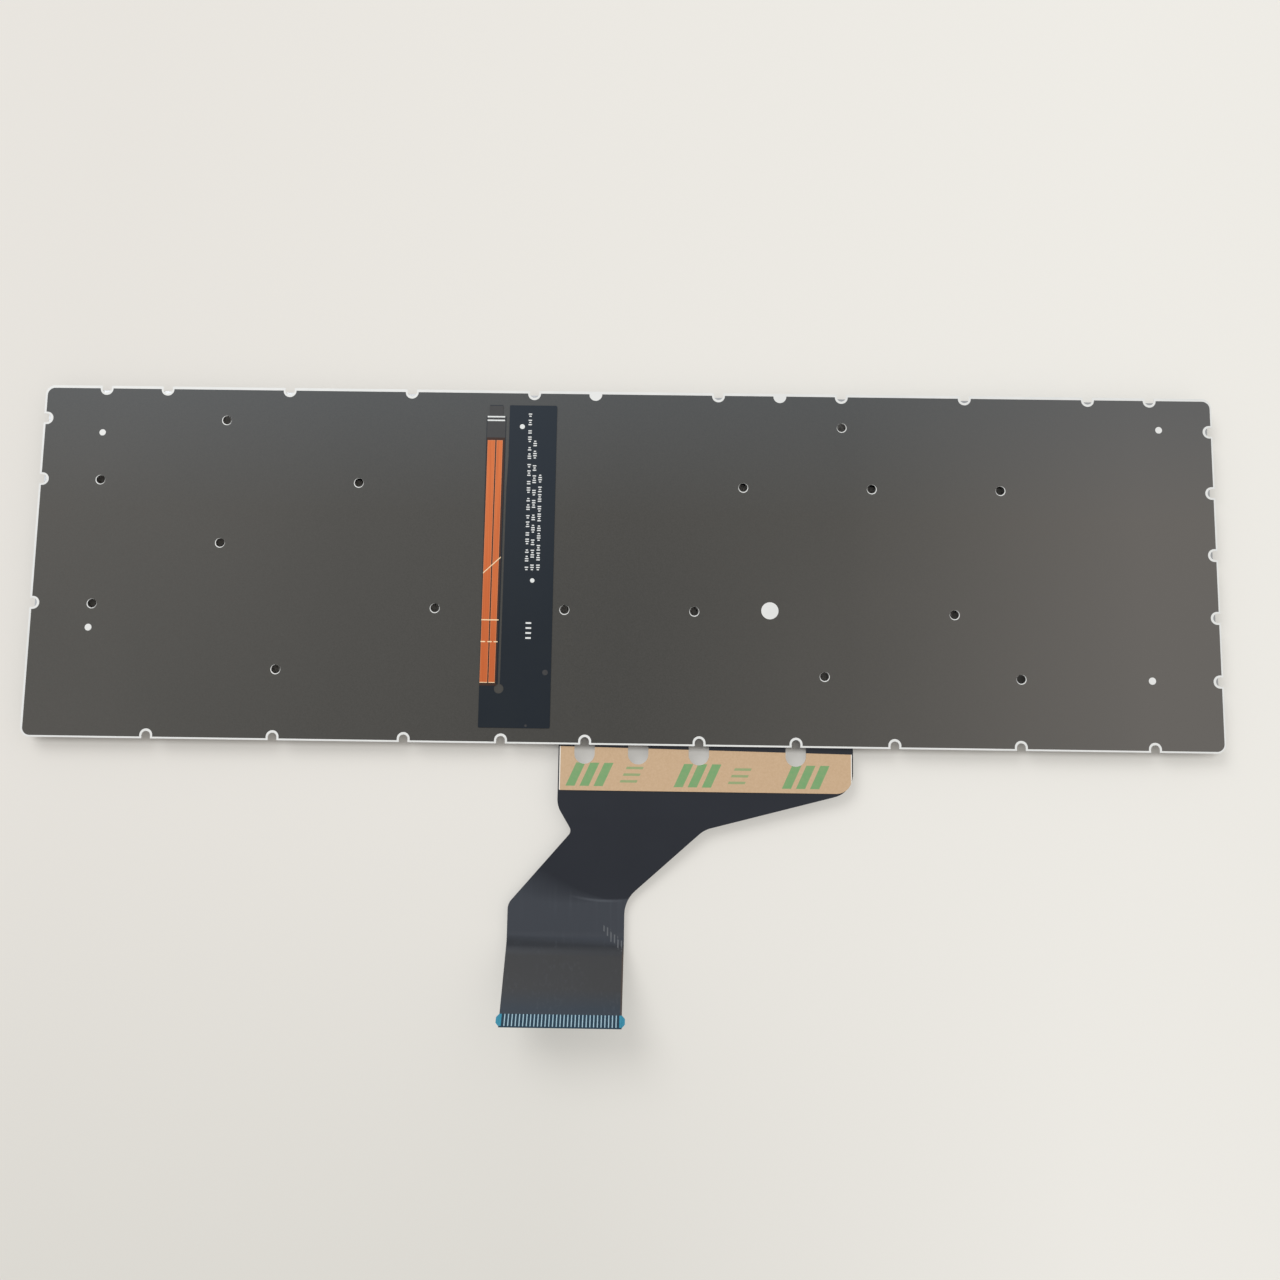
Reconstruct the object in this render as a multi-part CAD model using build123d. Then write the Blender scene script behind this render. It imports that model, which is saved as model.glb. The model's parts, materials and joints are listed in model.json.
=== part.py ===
from build123d import *
import os

os.makedirs("parts", exist_ok=True)

# A laptop keyboard lying on its key tops, back side up. Millimetres, +Z out of the back.
# The origin is the middle of the sheet, on the plane of the key tops.
# The back faces up, so the Esc edge is at +X and the function row at +Y.

# Key layout
ROW_PITCH = 18.4
PAD_PITCH = 18.1
KEY_GAP = 3.0
MAIN_W = 271.6
FUNCTION_H = 9.45
FUNCTION_KEYS = 19
PAD_COLUMNS = 4
KEY_ROWS = 5
TOP_MARGIN = 0.6
BOTTOM_MARGIN = 2.05
GRAVE_W = 15.6
TAB_W = 24.95
BACKSLASH_W = 21.65
TAB_ROW_LETTERS = 12
CAPS_W = 29.6
SHIFT_W = 38.9
CTRL_W = 20.1
MODIFIER_W = 19.0

# Keycaps, domes and scissors
CAP_H = 2.0
CAP_TOP = 0.9
CAP_WALL = 1.0
CAP_CORNER = 0.9
CAP_INSET = 0.5
TRAVEL = 1.5
STOP_GAP = 0.4
SEAT_GAP = 0.05
DOME_BASE = 5.4
DOME_TIP = 3.0
DOME_SIDES = 6
STEM = 4.0
SCISSOR_L = 11.0
SCISSOR_W = 10.4
SCISSOR_BAR = 0.9
SCISSOR_T = 0.6
SCISSOR_GAP = 0.25

# Sheets, from the keys to the back
MEMBRANE_T = 0.3
PLATE_T = 0.4
GUIDE_T = 0.3
FILM_T = 0.15
FLEX_T = 0.15
FILM_CORNER = 2.8
PLATE_INSET = 1.3
GUIDE_INSET = 3.2

# Stake holes through the stack, and notches round the edge
ROUND_SIDES = 8
STAKE_D = 2.6
STAKE_CLEAR = 0.4
EDGE_NOTCH_R = 1.35
EDGE_NOTCH_DEPTH = 1.6
POST_NOTCH_W = 2.5
POST_NOTCH_DEPTH = 2.15
POST_CLEAR = 0.4

# Posts along the lower edge, from the Esc edge, that no key boundary gives
SPACE_POSTS = (94.0, 122.1, 149.7, 182.3, 206.3)

# Backlight board, from the Esc edge and from the function row's edge
BOARD_NEAR = 192.35
BOARD_W = 20.5
BOARD_TOP = 4.5
BOARD_L = 95.15
LEG_W = 5.25
LEG_SLIT = 1.3
LEG_ROOT = 11.2
LEG_RELIEF_D = 2.9
LEG_TIP_W = 4.0
LEG_TIP_L = 3.4
LED_COUNT = 6
LED_PITCH = 14.0
LED_W = 0.8
LED_L = 1.8
LED_H = 0.4
LED_GAP = 0.5

# Ribbon tail in plan: places across are from the Esc edge, places along are from the lower edge
TAIL_T = 0.2
TAIL_LAP = 5.0
TAIL_NEAR = 105.8
TAIL_FAR = 189.75
TAIL_ROOT = 12.45
TAIL_ROOT_R = 4.3
TAIL_ELBOW = (147.95, 23.6)
TAIL_ELBOW_R = 8.0
TAIL_SHOULDER = 17.4
TAIL_SHOULDER_R = 7.0
TAIL_WAIST = (185.5, 24.5)
TAIL_WAIST_R = 1.8
TAIL_END_NEAR = 170.25
TAIL_END_W = 33.0
TAIL_NEAR_BEND = 43.6
TAIL_NEAR_BEND_R = 9.0
TAIL_FAR_BEND = 45.0
TAIL_FAR_BEND_R = 4.0
TAIL_L = 76.35
TAIL_FLAT = 16.0
TAIL_CREASE = 43.0
TAIL_CREASE_Z = 2.2
TAIL_BEND = 55.2
TAIL_BEND_Z = 2.6
TAIL_END_Z = 18.0
TAIL_SLOT_W = 5.8
TAIL_SLOT_L = 5.4
TAIL_SLOT_EXTRA = 167.0

# Pieces on the tail
LINER_T = 0.1
LINER_L = 12.9
LINER_START = 0.45
LINER_EDGE = 0.35
STIFFENER_T = 0.2
STIFFENER_L = 4.8
EAR_W = 0.85
EAR_L = 2.9
EAR_START = 0.25
EAR_CORNER = 0.8

# Sizes that follow from the layout: the keys between Tab and backslash share the width that is left
KEY_PITCH = (MAIN_W - TAB_W - BACKSLASH_W) / TAB_ROW_LETTERS
SHEET_W = MAIN_W + PAD_COLUMNS * PAD_PITCH
SHEET_H = TOP_MARGIN + FUNCTION_H + KEY_ROWS * ROW_PITCH + BOTTOM_MARGIN
FUNCTION_PITCH = SHEET_W / FUNCTION_KEYS

# Heights of the stack
MEMBRANE_Z = CAP_H + TRAVEL + STOP_GAP
PLATE_Z = MEMBRANE_Z + MEMBRANE_T
GUIDE_Z = PLATE_Z + PLATE_T
FILM_Z = GUIDE_Z + GUIDE_T
FLEX_Z = FILM_Z + FILM_T


def across(distance):
    """X of a place given by its distance from the Esc edge."""
    return SHEET_W / 2 - distance


def row_line(row):
    """Y of the line above a key row, counted from the digit row."""
    return SHEET_H / 2 - TOP_MARGIN - FUNCTION_H - row * ROW_PITCH


def below(distance):
    """Y of a place given by its distance below the sheet's lower edge."""
    return -SHEET_H / 2 - distance


def row_of_cells(row, start, keys):
    """Cells (name, x, y, width, height) of one key row, from (name, width) pairs."""
    cells = []
    for name, width in keys:
        cells.append((name, across(start + width / 2), row_line(row + 0.5), width, ROW_PITCH))
        start += width
    return cells


def main_row(row, first, first_w, middle, last):
    """A row of the main block whose last key takes the width that is left."""
    last_w = MAIN_W - first_w - len(middle) * KEY_PITCH
    keys = [(first, first_w)] + [(name, KEY_PITCH) for name in middle] + [(last, last_w)]
    return row_of_cells(row, 0, keys)


def bottom_row():
    """Modifier keys and the space bar, which takes the width that is left before the arrows."""
    left = [("left_ctrl", CTRL_W), ("fn", MODIFIER_W), ("system", MODIFIER_W), ("left_alt", MODIFIER_W)]
    right = [("right_alt", KEY_PITCH), ("right_ctrl", KEY_PITCH)]
    used = sum(width for _, width in left + right)
    space = [("space", MAIN_W - 3 * KEY_PITCH - used)]
    return row_of_cells(4, 0, left + space + right)


def arrow_cells():
    """Left and right arrows at full height, up and down sharing one place."""
    start = MAIN_W - 3 * KEY_PITCH
    left, stacked, right = row_of_cells(4, start, [(name, KEY_PITCH) for name in ("left", "up", "right")])
    name, x, y, width, height = stacked
    halves = [(name, x, y + side * height / 4, width, height / 2) for side in (1, -1)]
    return [left, right] + halves


def pad_cells():
    """Number pad: two tall keys in the outer column and one wide key below."""
    cells = []
    for row, columns in enumerate((4, 3, 3, 3)):
        cells += row_of_cells(row, MAIN_W, [("pad", PAD_PITCH)] * columns)
    tall_x = across(MAIN_W + (PAD_COLUMNS - 0.5) * PAD_PITCH)
    for row in (1, 3):
        cells.append(("pad", tall_x, row_line(row + 1), PAD_PITCH, 2 * ROW_PITCH))
    cells += row_of_cells(4, MAIN_W, [("zero", 2 * PAD_PITCH), ("point", PAD_PITCH)])
    return cells


def function_cells():
    """Function row: equal keys over the whole width."""
    y = row_line(0) + FUNCTION_H / 2
    places = [across((i + 0.5) * FUNCTION_PITCH) for i in range(FUNCTION_KEYS)]
    return [("function", x, y, FUNCTION_PITCH, FUNCTION_H) for x in places]


def locating_points():
    """Places of the locating holes, two between the tab keys and two in the number pad."""
    tab = [(across(TAB_W + i * KEY_PITCH), row_line(1)) for i in (2, 6)]
    pad = [(across(MAIN_W + 3 * PAD_PITCH), row_line(row)) for row in (1, 3)]
    return tab + pad


def stake_points():
    """Places of the other stake holes, on the key boundaries of each row line."""
    lines = [
        [6 * FUNCTION_PITCH, MAIN_W + PAD_PITCH],
        [TAB_W + i * KEY_PITCH for i in (4, 12)],
        [MAIN_W + PAD_PITCH],
        [SHIFT_W + i * KEY_PITCH for i in (2, 6, 8, 10)],
        [SHIFT_W + KEY_PITCH, SHIFT_W + 4 * KEY_PITCH, MAIN_W],
    ]
    return [(across(place), row_line(row)) for row, places in enumerate(lines) for place in places]


def edge_points():
    """Centres of the round notches along the upper edge and the two sides."""
    out = EDGE_NOTCH_R - EDGE_NOTCH_DEPTH
    top = [(across(i * FUNCTION_PITCH), SHEET_H / 2 + out) for i in (1, 2, 4, 6, 8, 11, 13, 15, 17, 18)]
    near = [(SHEET_W / 2 + out, row_line(row)) for row in range(KEY_ROWS)]
    far = [(-SHEET_W / 2 - out, row_line(row)) for row in (0, 1, 3)]
    return top + near + far


def post_places():
    """Distances from the Esc edge of the deep notches along the lower edge."""
    keys = [CTRL_W, CTRL_W + 2 * MODIFIER_W, MAIN_W - 2 * KEY_PITCH, MAIN_W, MAIN_W + 2 * PAD_PITCH]
    return keys + list(SPACE_POSTS)


def sheet_at(profile, z, thickness):
    """A flat sheet of the given outline."""
    return Pos(0, 0, z) * extrude(profile, thickness)


def round_cuts(points, diameter):
    """Small round cuts, each drawn as a polygon with few sides."""
    return [Pos(x, y) * RegularPolygon(diameter / 2, ROUND_SIDES) for x, y in points]


def clearance_holes(points):
    """Square clearance holes round the stakes in the hidden sheets."""
    width = STAKE_D + 2 * STAKE_CLEAR
    return [Pos(x, y) * Rectangle(width, width) for x, y in points]


def slots_up(places, width, depth):
    """Plain slots in the lower edge, open downwards."""
    return [Pos(across(place), below(0)) * Rectangle(width, 2 * depth) for place in places]


def reflector_film():
    """Film with stake holes, edge notches and the slot for the LEDs."""
    outline = Rectangle(SHEET_W, SHEET_H)
    outline = fillet(outline.vertices(), FILM_CORNER)
    round_end = POST_NOTCH_DEPTH - POST_NOTCH_W / 2
    cuts = round_cuts(locating_points() + stake_points(), STAKE_D)
    cuts += round_cuts(edge_points(), 2 * EDGE_NOTCH_R)
    cuts += round_cuts([(across(place), below(-round_end)) for place in post_places()], POST_NOTCH_W)
    cuts += slots_up(post_places(), POST_NOTCH_W, round_end)
    return sheet_at(outline - cuts - led_slot(), FILM_Z, FILM_T)


def base_plate():
    """Steel plate, a little inside the film: it fits the locating stakes and clears the others."""
    outline = Rectangle(SHEET_W - 2 * PLATE_INSET, SHEET_H - 2 * PLATE_INSET)
    cuts = [Pos(x, y) * Circle(STAKE_D / 2) for x, y in locating_points()]
    cuts += clearance_holes(stake_points())
    cuts += slots_up(post_places(), POST_NOTCH_W + 2 * POST_CLEAR, POST_NOTCH_DEPTH + POST_CLEAR)
    return sheet_at(outline - cuts, PLATE_Z, PLATE_T)


def guide_outline():
    """Outline that the light guide and the membrane share."""
    outline = Rectangle(SHEET_W - 2 * GUIDE_INSET, SHEET_H - 2 * GUIDE_INSET)
    return outline - clearance_holes(locating_points() + stake_points())


def board_line():
    """X of the LED row: the middle of the board beside its leg."""
    return across(BOARD_NEAR + (BOARD_W - LEG_W - LEG_SLIT) / 2)


def led_slot():
    """Slot in the film and the light guide that takes the LEDs."""
    length = (LED_COUNT - 1) * LED_PITCH + LED_L + 2 * LED_GAP
    return Pos(board_line(), board_middle()) * Rectangle(LED_W + 2 * LED_GAP, length)


def board_middle():
    """Y of the board's middle."""
    return SHEET_H / 2 - BOARD_TOP - BOARD_L / 2


def backlight_flex():
    """Board with a leg cut free by a slit, which ends in a round relief."""
    middle = across(BOARD_NEAR + BOARD_W / 2)
    far = across(BOARD_NEAR + BOARD_W)
    outline = Pos(middle, board_middle()) * Rectangle(BOARD_W, BOARD_L)
    top = board_middle() + BOARD_L / 2
    relief = board_middle() - BOARD_L / 2 + LEG_ROOT
    slit_x = far + LEG_W + LEG_SLIT / 2
    slit = Pos(slit_x, (top + relief) / 2) * Rectangle(LEG_SLIT, top - relief)
    hole = round_cuts([(slit_x, relief)], LEG_RELIEF_D)
    step = (LEG_W - LEG_TIP_W) / 2
    sides = [Pos(far + x, top) * Rectangle(2 * step, 2 * LEG_TIP_L) for x in (0, LEG_W)]
    return sheet_at(outline - slit - hole - sides, FLEX_Z, FLEX_T)


def backlight_leds():
    """LEDs hanging from the board into the slot."""
    middle = (LED_COUNT - 1) / 2
    places = [board_middle() + (i - middle) * LED_PITCH for i in range(LED_COUNT)]
    led = Box(LED_W, LED_L, LED_H)
    return [Pos(board_line(), y, FLEX_Z - LED_H / 2) * led for y in places]


def tail_outline():
    """Plan of the ribbon tail: a wide root, a slanted neck and a straight end."""
    end_far = TAIL_END_NEAR + TAIL_END_W
    corners = [
        (TAIL_NEAR, -TAIL_LAP, 0),
        (TAIL_NEAR, TAIL_ROOT, TAIL_ROOT_R),
        (*TAIL_ELBOW, TAIL_ELBOW_R),
        (TAIL_END_NEAR, TAIL_NEAR_BEND, TAIL_NEAR_BEND_R),
        (TAIL_END_NEAR, TAIL_L, 0),
        (end_far, TAIL_L, 0),
        (end_far, TAIL_FAR_BEND, TAIL_FAR_BEND_R),
        (*TAIL_WAIST, TAIL_WAIST_R),
        (TAIL_FAR, TAIL_SHOULDER, TAIL_SHOULDER_R),
        (TAIL_FAR, -TAIL_LAP, 0),
    ]
    points = [(across(place), below(along)) for place, along, _ in corners]
    return make_face(FilletPolyline(*points, radius=[r for _, _, r in corners], close=True))


def tail_slots():
    """Round-ended slots where the tail and its liner pass the posts."""
    places = [place for place in SPACE_POSTS if TAIL_NEAR < place < TAIL_FAR] + [TAIL_SLOT_EXTRA]
    round_end = TAIL_SLOT_L - TAIL_SLOT_W / 2
    ends = round_cuts([(across(place), below(round_end)) for place in places], TAIL_SLOT_W)
    return ends + slots_up(places, TAIL_SLOT_W, round_end)


def tail_band(thickness, lowered):
    """Side view of the tail as a band over the whole width, its upper face lowered."""
    line = [
        (-TAIL_LAP, PLATE_Z),
        (TAIL_FLAT, PLATE_Z),
        (TAIL_CREASE, TAIL_CREASE_Z),
        (TAIL_BEND, TAIL_BEND_Z),
        (TAIL_L, TAIL_END_Z),
    ]
    upper = [(below(along), z - lowered) for along, z in line]
    lower = [(y, z - thickness) for y, z in reversed(upper)]
    side = Plane.YZ * make_face(Polyline(*upper, *lower, close=True))
    return extrude(side, SHEET_W / 2, both=True)


def membrane():
    """Switch membrane and its tail, one piece of film."""
    plan = tail_outline() - tail_slots()
    tail = extrude(plan, TAIL_END_Z + TAIL_T) & tail_band(TAIL_T, 0)
    return sheet_at(guide_outline(), MEMBRANE_Z, MEMBRANE_T) + tail


def release_liner():
    """Liner over the adhesive on the root of the tail."""
    width = TAIL_FAR - TAIL_NEAR - 2 * LINER_EDGE
    length = LINER_L - LINER_START
    middle = across((TAIL_NEAR + TAIL_FAR) / 2)
    cover = Pos(middle, below(LINER_START + length / 2)) * Rectangle(width, length)
    return sheet_at((tail_outline() & cover) - tail_slots(), PLATE_Z, LINER_T)


def tail_stiffener():
    """Strip under the contact end, with an ear at each side."""
    middle = across(TAIL_END_NEAR + TAIL_END_W / 2)
    strip = Pos(middle, below(TAIL_L - STIFFENER_L / 2)) * Rectangle(TAIL_END_W, STIFFENER_L)
    ear_line = below(TAIL_L - EAR_START - EAR_L / 2)
    ears = Pos(middle, ear_line) * Rectangle(TAIL_END_W + 2 * EAR_W, EAR_L)
    ears = chamfer(ears.vertices(), EAR_CORNER)
    return extrude(strip + ears, TAIL_END_Z + TAIL_T) & tail_band(STIFFENER_T, TAIL_T)


def frustum(lower, lower_z, upper, upper_z):
    """Flat-sided solid between two polygons with as many corners."""
    below_ring = [Vector(x, y, lower_z) for x, y in lower]
    above_ring = [Vector(x, y, upper_z) for x, y in upper]
    corners = range(len(lower))
    sides = [[below_ring[i - 1], below_ring[i], above_ring[i], above_ring[i - 1]] for i in corners]
    rings = [below_ring[::-1], *sides, above_ring]
    return Solid(Shell([Face(Wire.make_polygon(ring)) for ring in rings]))


def cut_corners(width, height):
    """Corners of a rectangle whose own corners are cut off at 45 degrees."""
    x, y = width / 2, height / 2
    a, b = x - CAP_CORNER, y - CAP_CORNER
    return [(x, -b), (x, b), (a, y), (-a, y), (-x, b), (-x, -b), (-a, -y), (a, -y)]


def keycap(width, height):
    """Solid keycap, its top on the table and its sides drafted."""
    skirt_w, skirt_h = width - KEY_GAP, height - KEY_GAP
    top = cut_corners(skirt_w - 2 * CAP_INSET, skirt_h - 2 * CAP_INSET)
    return frustum(top, 0, cut_corners(skirt_w, skirt_h), CAP_H)


def hollow_keycap(width, height):
    """Keycap with the pocket that its scissor folds into."""
    pocket = Rectangle(width - KEY_GAP - 2 * CAP_WALL, height - KEY_GAP - 2 * CAP_WALL)
    return keycap(width, height) - sheet_at(pocket, CAP_TOP, CAP_H - CAP_TOP)


def fused_key(width, height):
    """Keycap in one piece with the stem that carries it on the membrane."""
    stem = sheet_at(Rectangle(STEM, STEM), CAP_H, MEMBRANE_Z - CAP_H)
    return keycap(width, height) + stem


def rubber_dome():
    """Dome between the membrane and the ceiling of a keycap's pocket."""
    base, tip = [
        [(corner.X, corner.Y) for corner in RegularPolygon(size / 2, DOME_SIDES).vertices()]
        for size in (DOME_BASE, DOME_TIP)
    ]
    return frustum(tip, CAP_TOP + SEAT_GAP, base, MEMBRANE_Z)


def scissor_frame(width, side):
    """U-shaped frame that leans from the membrane to the keycap; side gives the way it leans."""
    inner = width - 2 * SCISSOR_BAR
    open_end = Pos(side * SCISSOR_BAR, 0) * Rectangle(SCISSOR_L, inner)
    plan = Rectangle(SCISSOR_L, width) - open_end
    low = CAP_TOP + SEAT_GAP
    high = MEMBRANE_Z - SCISSOR_T
    ends = [(side * SCISSOR_L / 2, high), (-side * SCISSOR_L / 2, low)]
    lower = [(x, z) for x, z in ends]
    upper = [(x, z + SCISSOR_T) for x, z in reversed(ends)]
    lean = Plane.XZ * make_face(Polyline(*lower, *upper, close=True))
    return extrude(plan, MEMBRANE_Z) & extrude(lean, width, both=True)


def scissor():
    """Crossed pair of frames, the inner one inside the bars of the outer one."""
    inner_w = SCISSOR_W - 2 * SCISSOR_BAR - 2 * SCISSOR_GAP
    return [scissor_frame(SCISSOR_W, 1), scissor_frame(inner_w, -1)]


def write(name, pieces):
    """One file for a node, with all its solids."""
    solids = [solid for piece in pieces for solid in piece.solids()]
    export_step(solids[0] if len(solids) == 1 else Compound(solids), f"parts/{name}.step")


# Keys that move one by one, and the rows fused with their stems
tab_row = main_row(1, "tab", TAB_W, [*"qwertyuiop", "left_bracket", "right_bracket"], "backslash")
caps_row = main_row(2, "caps", CAPS_W, [*"asdfghjkl", "semicolon", "quote"], "enter")
shift_row = main_row(3, "left_shift", SHIFT_W, [*"zxcvbnm", "comma", "period", "slash"], "right_shift")
moving = tab_row + caps_row + shift_row + bottom_row()
fused = {
    "function_row_keys": function_cells(),
    "digit_row_keys": main_row(0, "grave", GRAVE_W, [*"1234567890", "minus", "equals"], "backspace"),
    "number_pad_keys": pad_cells(),
    "arrow_keys": arrow_cells(),
}

for name, x, y, width, height in moving:
    write(f"key_{name}", [Pos(x, y) * hollow_keycap(width, height)])
for name, cells in fused.items():
    write(name, [Pos(x, y) * fused_key(width, height) for _, x, y, width, height in cells])
write("rubber_domes", [Pos(x, y) * rubber_dome() for _, x, y, _, _ in moving])
write("scissor_frames", [Pos(x, y) * frame for _, x, y, _, _ in moving for frame in scissor()])
write("membrane", [membrane()])
write("base_plate", [base_plate()])
write("light_guide", [sheet_at(guide_outline() - led_slot(), GUIDE_Z, GUIDE_T)])
write("reflector_film", [reflector_film()])
write("backlight_flex", [backlight_flex()])
write("backlight_leds", backlight_leds())
write("release_liner", [release_liner()])
write("tail_stiffener", [tail_stiffener()])
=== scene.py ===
"""Looks of a laptop keyboard that lies on its keys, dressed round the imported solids."""

import json
import math

import bmesh
import bpy
import numpy as np
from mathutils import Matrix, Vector
from mathutils.geometry import delaunay_2d_cdt


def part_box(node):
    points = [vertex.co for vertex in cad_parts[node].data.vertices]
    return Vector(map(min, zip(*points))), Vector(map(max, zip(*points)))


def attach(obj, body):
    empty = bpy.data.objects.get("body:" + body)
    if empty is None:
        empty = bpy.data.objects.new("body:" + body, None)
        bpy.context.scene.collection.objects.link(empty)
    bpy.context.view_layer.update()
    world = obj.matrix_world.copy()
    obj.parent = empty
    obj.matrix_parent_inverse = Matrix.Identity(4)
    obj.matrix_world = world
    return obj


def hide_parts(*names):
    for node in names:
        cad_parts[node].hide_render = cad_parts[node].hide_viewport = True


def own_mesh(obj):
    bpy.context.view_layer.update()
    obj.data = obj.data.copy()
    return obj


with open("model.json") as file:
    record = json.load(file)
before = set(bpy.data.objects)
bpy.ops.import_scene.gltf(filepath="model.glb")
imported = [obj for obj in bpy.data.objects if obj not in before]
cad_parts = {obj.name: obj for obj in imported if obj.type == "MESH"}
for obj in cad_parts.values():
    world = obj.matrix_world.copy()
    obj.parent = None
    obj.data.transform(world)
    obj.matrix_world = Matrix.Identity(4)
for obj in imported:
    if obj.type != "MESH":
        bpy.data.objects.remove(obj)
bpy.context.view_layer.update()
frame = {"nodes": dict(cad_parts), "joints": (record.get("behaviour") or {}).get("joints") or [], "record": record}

# Shapes are worked out in millimetres and made in metres
MM = 0.001

# Key layout of the solids
KEY_PITCH = 18.75
ROW_PITCH = 18.4
PAD_PITCH = 18.1
MAIN_W = 271.6
TAB_W = 24.95
SHIFT_W = 38.9
CTRL_W = 20.1
MODIFIER_W = 19.0
FUNCTION_KEYS = 19
FUNCTION_BAND = 10.05
SPACE_POSTS = (94.0, 122.1, 149.7, 182.3, 206.3)

# Printed back
FILM_CORNER = 2.8
PRINT_T = 0.012
PRINT_RIMS = (0.5, 0.45, 0.8, 0.6)
PRINT_CORNER_INSET = 0.6
# Shift of each print ring from its hole, which shows the white film as a painted highlight crescent
RING_HIGHLIGHT_SHIFT = 0.13
STAKE_R = 1.3
STAKE_RING_R = 1.44
STAKE_CLEAR = 0.4
LED_GAP = 0.5
EDGE_BITE = (1.36, 2.1)
EDGE_PRINT_BITE = (1.9, 2.8)
POST_BITE = (1.25, 2.15)
POST_PRINT_BITE = (1.85, 2.85)
TOP_NOTCHES = (1, 2, 4, 6, 8, 11, 13, 15, 17, 18)
TOP_PRINT_BITES = (7, 10)
WINDOWS = (
    (-154.33, 37.81, 0.95),
    (-154.52, -20.22, 1.0),
    (156.35, 42.42, 1.0),
    (151.78, -31.61, 1.05),
    (42.41, -12.76, 2.5),
)

# Backlight board
BOARD_T = 0.12
BOARD_CORNER = 0.5
BOARD_SHOULDERS = ((32.0, 1.3), (22.0, 0.9))
SHOULDER_R = 2.0
LEG_W = 5.25
LEG_CORNER = 0.3
LEG_LEAN = 0.3
LEG_FLARE = 0.15
LEG_SLIT = 0.65
LEG_ROOT = 11.2
LEG_RELIEF_R = 1.4
LEG_TIP_W = 4.0
LEG_TIP_L = 3.4
LEG_TIP_BARE = 0.2
TIP_CORNER = 0.2

# Copper strips: places across are from the leg's far edge, depths from the board's highest ink
STRIP_TOP = 36.9
STRIP_FOOT = -34.75
STRIP_FEET = ((0.05, 2.24), (2.6, 4.38))
STRIP_HEADS = ((0.27, 2.52), (2.88, 4.7))
STRIP_BORDER = 0.13
HEEL_L = 0.2
BASE_REACH = 0.8
BASE_DEPTH = 0.022
BORDER_DEPTH = 0.018
COPPER_DEPTH = 0.014
HEEL_DEPTH = 0.012

# Printed marks of the leg and the board; columns as (x, end, pitch, ticks in a group)
INK_T = 0.01
END_LINES = (44.0, 42.9)
END_LINE_HALF = 0.22
LEG_LINE = (-16.68, -16.36)
DASH_LINE = (-23.02, -22.7)
DASHES = ((0.0, 1.3), (1.95, 3.2), (3.75, 4.9))
WHITE_DOTS = ((-30.5, 41.1, 0.74), (-26.42, -4.83, 0.65))
BLACK_DOTS = ((-22.07, -31.57, 0.8), (-27.26, -46.9, 0.35))
MARK_COLUMNS = ((-28.2, 46.2, 2.55, 2), (-26.6, 37.6, 3.7, 3), (-24.88, 28.4, 2.9, 3))
MARK_START = -1.8
MARK_END_GAP = 2
TICK_H = 0.34
TICK_STEP = 0.66
TICK_HALVES = (0.32, 0.5)
BAR_ROWS = (-21.9, -20.45, -19.0, -17.55)
BAR_SIDES = (-28.0, -26.4)
BAR_H = 0.5

# Ribbon tail: corners as (from the Esc edge, below the sheet, rounding)
TAIL_CORNERS = (
    (105.8, -5.0, 0.0),
    (105.8, 12.45, 7.0),
    (147.95, 23.6, 8.0),
    (170.25, 43.6, 9.0),
    (170.25, 76.35, 0.6),
    (203.25, 76.35, 0.6),
    (203.25, 45.0, 4.0),
    (185.5, 24.5, 1.8),
    (189.75, 17.4, 7.0),
    (189.75, -5.0, 0.0),
)
TAIL_HEIGHTS = ((-5.0, 4.2), (16.0, 4.2), (43.0, 2.2), (55.2, 2.6), (76.35, 18.0))
TAIL_BEND = 1.2
TAIL_T = 0.2
TAIL_SLOTS = (122.1, 149.7, 167.0, 182.3)
TAIL_SLOT_W = 5.8
TAIL_SLOT_L = 5.4
TAIL_SLOT_LAP = 2.0
MEMBRANE_T = 0.3
CONTACTS = 32
CONTACT_PITCH = 1.0
CONTACT_W = 0.7
CONTACT_L = 3.2
CONTACT_T = 0.02
CONTACT_RAIL = 0.35
LINER_TILT = 1.3
LINER_CORNER = 4.4
LINER_NICK = 0.3

# Keycaps as rings of (inset, height, corner), from the pocket's ceiling to the dish
CAP_RINGS = (
    (1.0, 0.9, 0.5),
    (1.0, 1.95, 0.5),
    (0.95, 2.0, 0.5),
    (0.08, 2.0, 1.0),
    (0.0, 1.92, 1.1),
    (0.42, 0.45, 1.1),
    (0.5, 0.25, 1.1),
    (0.62, 0.08, 1.1),
    (0.8, 0.0, 1.1),
    (1.1, 0.0, 1.0),
    (1.6, 0.045, 0.9),
    (2.2, 0.06, 0.8),
)
LEGEND_LOW = 0.03
LEGEND_HIGH = 0.07
LETTER_SIZE = 4.4
WORD_SIZE = 2.7
ARROW_R = 1.1
SYSTEM_RING = (1.5, 1.1)

# Homing bars as rings of (half length, inset, height), below the key's middle
HOMING_RINGS = ((1.8, 0, 0.07), (1.6, 0.1, 0.01))
HOMING_SPAN = (4.6, 4.0)
HOMING_CORNER = 0.3

# Domes as rings of (radius, height), and scissors
DOME_RINGS = (
    (0.9, 1.15),
    (1.0, 1.0),
    (1.15, 0.95),
    (1.45, 1.0),
    (1.5, 1.15),
    (1.5, 1.7),
    (1.75, 2.1),
    (2.3, 3.5),
    (2.45, 3.65),
    (2.7, 3.68),
    (2.7, 3.9),
)
SCISSOR_L = 11.0
SCISSOR_W = 10.4
SCISSOR_BAR = 0.9
SCISSOR_T = 0.6
SCISSOR_GAP = 0.25
SCISSOR_LOW = 0.95
SCISSOR_TOP = 3.9
PIVOT_R = 0.28
POCKET_MARGIN = 2.4

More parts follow.
